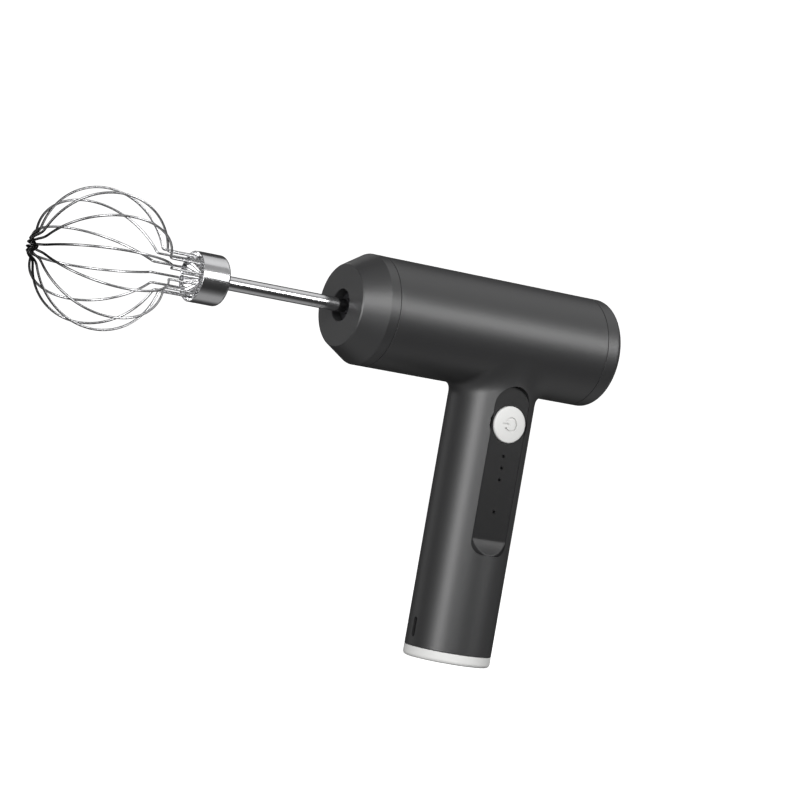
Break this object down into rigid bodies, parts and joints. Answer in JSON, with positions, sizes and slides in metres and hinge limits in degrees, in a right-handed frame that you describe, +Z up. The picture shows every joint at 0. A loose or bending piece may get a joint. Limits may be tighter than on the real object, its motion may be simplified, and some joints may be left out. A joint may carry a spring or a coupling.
{
  "type": "cordless hand mixer",
  "caption": "Cordless hand mixer with a round barrel on a straight handle, a power button panel, and a plug-in ball whisk driven through planet gears.",
  "frame": {"origin": "centre of the base cap's flat bottom, on the handle's axis", "axes": "+Z up along the handle; the whisk points along -X and its axis is parallel to X at z = 138 mm; the control panel faces -Y"},
  "size_m": [0.2676, 0.0558, 0.1659],
  "materials": {
    "charcoal_casing": "satin",
    "black_panel": "satin",
    "white_plastic": "satin",
    "clear_plastic": "gloss",
    "black_plastic": "satin",
    "nylon": "satin",
    "circuit_board": "satin",
    "battery_wrap": "satin",
    "steel": "satin",
    "motor_steel": "satin",
    "ferrite": "matte",
    "bronze": "satin",
    "copper": "satin",
    "red_wire": "satin",
    "black_wire": "satin",
    "seal_rubber": "matte",
    "whisk_chrome": "polished",
    "whisk_wire": "satin"
  },
  "bodies": {
    "housing": {"main_housing": "charcoal_casing", "nose_cap": "charcoal_casing", "rear_cap": "charcoal_casing", "base_cap": "white_plastic", "nose_seal": "seal_rubber", "control_panel": "black_panel", "light_guide": "clear_plastic", "tact_switch": "black_plastic", "control_board": "circuit_board", "usb_port": "steel", "charge_board": "circuit_board", "charge_lead": "red_wire", "battery_cell": "battery_wrap", "battery_cradle": "black_plastic", "battery_tab_bottom": "steel", "battery_tab_top": "steel", "gearbox_housing": "nylon", "gearbox_plate": "black_plastic", "gearbox_screw_1": "steel", "gearbox_screw_2": "steel", "gearbox_screw_3": "steel", "motor_screw_1": "steel", "motor_screw_2": "steel", "output_bush_front": "bronze", "output_bush_rear": "bronze", "motor_can": "motor_steel", "motor_flux_ring": "motor_steel", "motor_end_cap": "black_plastic", "motor_magnet_1": "ferrite", "motor_magnet_2": "ferrite", "motor_bush_front": "bronze", "motor_bush_rear": "bronze", "motor_brush_1": "ferrite", "motor_brush_2": "ferrite", "motor_lead_red": "red_wire", "motor_lead_black": "black_wire"},
    "output_drive": {"planet_carrier": "steel", "output_spindle": "steel", "drive_socket": "black_plastic", "retaining_clip": "steel"},
    "rotor": {"motor_shaft": "steel", "sun_pinion": "bronze", "armature_core": "motor_steel", "armature_winding_1": "copper", "armature_winding_2": "copper", "commutator": "copper"},
    "planet_1": {"planet_gear_1": "nylon"},
    "planet_2": {"planet_gear_2": "nylon"},
    "planet_3": {"planet_gear_3": "nylon"},
    "whisk": {"whisk_shaft": "whisk_chrome", "whisk_ferrule": "whisk_chrome", "whisk_core": "whisk_wire", "wire_hoop_1": "whisk_wire", "wire_hoop_2": "whisk_wire", "wire_hoop_3": "whisk_wire", "wire_hoop_4": "whisk_wire", "wire_hoop_5": "whisk_wire", "wire_hoop_6": "whisk_wire"},
    "power_button": {"power_button": "white_plastic", "switch_plunger": "black_plastic"}
  },
  "joints": [
    {"name": "output_spin", "type": "hinge", "parent": "housing", "child": "output_drive", "pos_m": [-0.045, 0, 0.138], "axis": [1, 0, 0], "continuous": true},
    {"name": "rotor_spin", "type": "hinge", "parent": "housing", "child": "rotor", "pos_m": [0.01, 0, 0.138], "axis": [1, 0, 0], "continuous": true},
    {"name": "planet_1_spin", "type": "hinge", "parent": "output_drive", "child": "planet_1", "pos_m": [-0.0164, 0, 0.129], "axis": [1, 0, 0], "continuous": true},
    {"name": "planet_2_spin", "type": "hinge", "parent": "output_drive", "child": "planet_2", "pos_m": [-0.0164, 0.00779, 0.1425], "axis": [1, 0, 0], "continuous": true},
    {"name": "planet_3_spin", "type": "hinge", "parent": "output_drive", "child": "planet_3", "pos_m": [-0.0164, -0.00779, 0.1425], "axis": [1, 0, 0], "continuous": true},
    {"name": "whisk_pull", "type": "slide", "parent": "output_drive", "child": "whisk", "axis": [-1, 0, 0], "range_m": [0, 0.035]},
    {"name": "button_press", "type": "slide", "parent": "housing", "child": "power_button", "axis": [0, 1, 0], "range_m": [0, 0.0005], "stiffness_N_per_m": 1000}
  ],
  "couplings": [
    {"joint": "rotor_spin", "follows": "output_spin", "ratio": 4},
    {"joint": "planet_1_spin", "follows": "output_spin", "ratio": -3},
    {"joint": "planet_2_spin", "follows": "output_spin", "ratio": -3},
    {"joint": "planet_3_spin", "follows": "output_spin", "ratio": -3}
  ]
}
